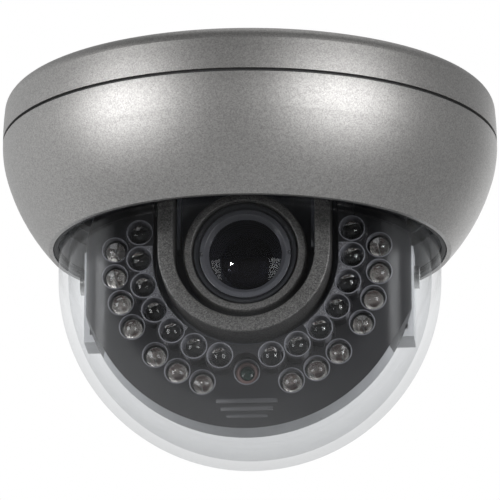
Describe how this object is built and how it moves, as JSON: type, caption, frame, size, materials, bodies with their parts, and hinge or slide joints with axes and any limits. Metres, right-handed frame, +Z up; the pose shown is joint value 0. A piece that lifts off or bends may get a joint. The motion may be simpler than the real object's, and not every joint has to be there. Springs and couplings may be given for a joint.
{
  "type": "ceiling dome security camera",
  "caption": "Ceiling dome security camera: grey twist-off housing, clear dome, and a pan and tilt module with a varifocal lens, a U-shaped light shield and infra-red LEDs.",
  "frame": {"origin": "centre of the ceiling face, on the base plate's plane", "axes": "+Z up into the ceiling along the housing's axis, the lens looks along -Y at rest, +X completes the right-handed frame"},
  "size_m": [0.128, 0.128, 0.0971],
  "materials": {
    "housing_paint": "fine dark grey metallic paint",
    "gasket_rubber": "matt black",
    "nylon_white": "matt",
    "zinc_steel": "zinc plated",
    "screw_steel": "nickel plated",
    "black_screw_steel": "black oxide",
    "dome_clear": "clear, polished",
    "light_grey_plastic": "satin light grey",
    "black_plastic": "satin black",
    "face_plastic": "smooth dark grey",
    "speckled_plastic": "fine speckled dark grey",
    "barrel_black": "black anodised",
    "lens_glass": "coated",
    "led_epoxy": "clear epoxy",
    "sensor_plastic": "clear over a dark red cell",
    "lever_chrome": "polished",
    "board_green": "solder mask",
    "board_black": "black solder mask",
    "sensor_chip": "cover glass over a dark chip",
    "brass_spacer": "turned",
    "connector_white": "nylon"
  },
  "bodies": {
    "base": {"base_housing": "housing_paint", "seam_gasket": "gasket_rubber", "cable_grommet": "gasket_rubber", "pan_washer": "nylon_white", "pan_retainer": "zinc_steel", "pan_retainer_screws": "screw_steel"},
    "cover": {"cover_shell": "housing_paint", "dome_bubble": "dome_clear", "dome_gasket": "gasket_rubber", "dome_retaining_ring": "light_grey_plastic", "dome_ring_screws": "screw_steel", "cover_lock_screw": "black_screw_steel"},
    "pan": {"pan_platform": "black_plastic", "yoke_arm_left": "light_grey_plastic", "yoke_arm_right": "light_grey_plastic", "yoke_screws": "screw_steel"},
    "tilt": {"face_plate": "face_plastic", "light_shield": "speckled_plastic", "lens_bezel": "speckled_plastic", "led_board": "board_black", "leds_inner_row": "led_epoxy", "leds_outer_row": "led_epoxy", "light_sensor": "sensor_plastic", "tilt_bracket": "light_grey_plastic", "tilt_pivot_left": "screw_steel", "tilt_pivot_right": "screw_steel", "face_screws": "screw_steel", "lens_barrel": "barrel_black", "lens_retaining_ring": "barrel_black", "front_lens": "lens_glass", "iris_ring": "barrel_black", "rear_lens": "lens_glass", "rear_barrel": "barrel_black", "lens_mount": "black_plastic", "lens_mount_screws": "screw_steel", "image_sensor": "sensor_chip", "sensor_board": "board_green", "main_board": "board_green", "board_standoffs": "brass_spacer", "board_spacers": "brass_spacer", "board_screws": "screw_steel", "board_connectors": "connector_white"},
    "focus": {"focus_ring": "barrel_black", "focus_lock_lever": "lever_chrome"},
    "zoom": {"zoom_ring": "barrel_black", "zoom_lock_lever": "lever_chrome"}
  },
  "joints": [
    {"name": "cover_twist", "type": "hinge", "parent": "base", "child": "cover", "pos_m": [0, 0, -0.0124], "axis": [0, 0, 1], "range_deg": [0, 16]},
    {"name": "pan_turn", "type": "hinge", "parent": "base", "child": "pan", "pos_m": [0, 0, -0.005], "axis": [0, 0, 1], "range_deg": [-172, 172]},
    {"name": "tilt_turn", "type": "hinge", "parent": "pan", "child": "tilt", "pos_m": [0, 0, -0.0482], "axis": [1, 0, 0], "range_deg": [0, 90]},
    {"name": "focus_turn", "type": "hinge", "parent": "tilt", "child": "focus", "pos_m": [0, 0, -0.0458], "axis": [0, -1, 0], "range_deg": [-40, 70]},
    {"name": "zoom_turn", "type": "hinge", "parent": "tilt", "child": "zoom", "pos_m": [0, 0, -0.0458], "axis": [0, -1, 0], "range_deg": [-70, 40]}
  ]
}
